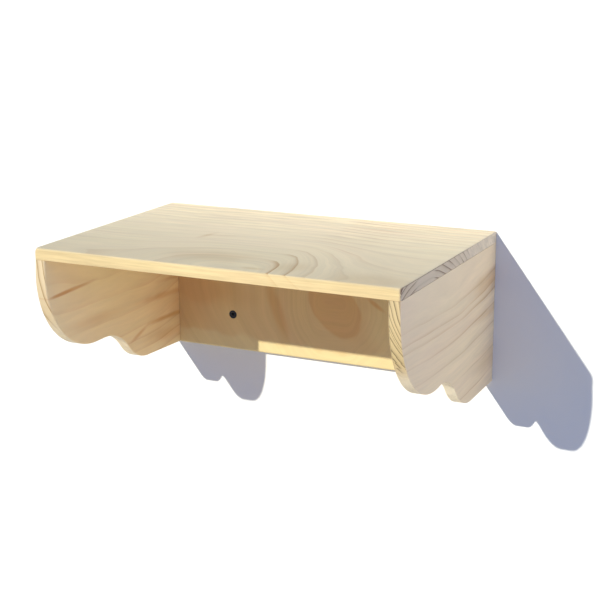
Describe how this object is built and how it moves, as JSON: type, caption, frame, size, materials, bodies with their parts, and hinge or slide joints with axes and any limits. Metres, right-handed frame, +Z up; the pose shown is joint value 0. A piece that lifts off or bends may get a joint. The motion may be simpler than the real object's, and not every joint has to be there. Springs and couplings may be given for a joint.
{
  "type": "wall-mounted cat step",
  "caption": "Wall-mounted wooden cat step: a flat top board on scalloped side boards, with a back board for the wall screws.",
  "frame": {"origin": "on the back board's rear face, midway between the two wall screws", "axes": "+Y into the wall, +Z up, +X to the right of someone facing the wall"},
  "size_m": [0.4, 0.3033, 0.167],
  "materials": {
    "pine_top": "planed and sanded, bare",
    "pine_side_left": "planed and sanded, bare",
    "pine_side_right": "planed and sanded, bare",
    "pine_back": "planed and sanded, bare",
    "beech_dowel": "turned, glued in",
    "black_screw": "black oxide, oiled"
  },
  "bodies": {
    "root": {"top_board": "pine_top", "left_side_board": "pine_side_left", "right_side_board": "pine_side_right", "back_board": "pine_back", "top_dowel_left_1": "beech_dowel", "top_dowel_left_2": "beech_dowel", "top_dowel_left_3": "beech_dowel", "top_dowel_right_1": "beech_dowel", "top_dowel_right_2": "beech_dowel", "top_dowel_right_3": "beech_dowel", "back_dowel_left_1": "beech_dowel", "back_dowel_left_2": "beech_dowel", "back_dowel_right_1": "beech_dowel", "back_dowel_right_2": "beech_dowel", "ledge_dowel_1": "beech_dowel", "ledge_dowel_2": "beech_dowel", "wall_screw_left": "black_screw", "wall_screw_right": "black_screw"}
  },
  "joints": []
}
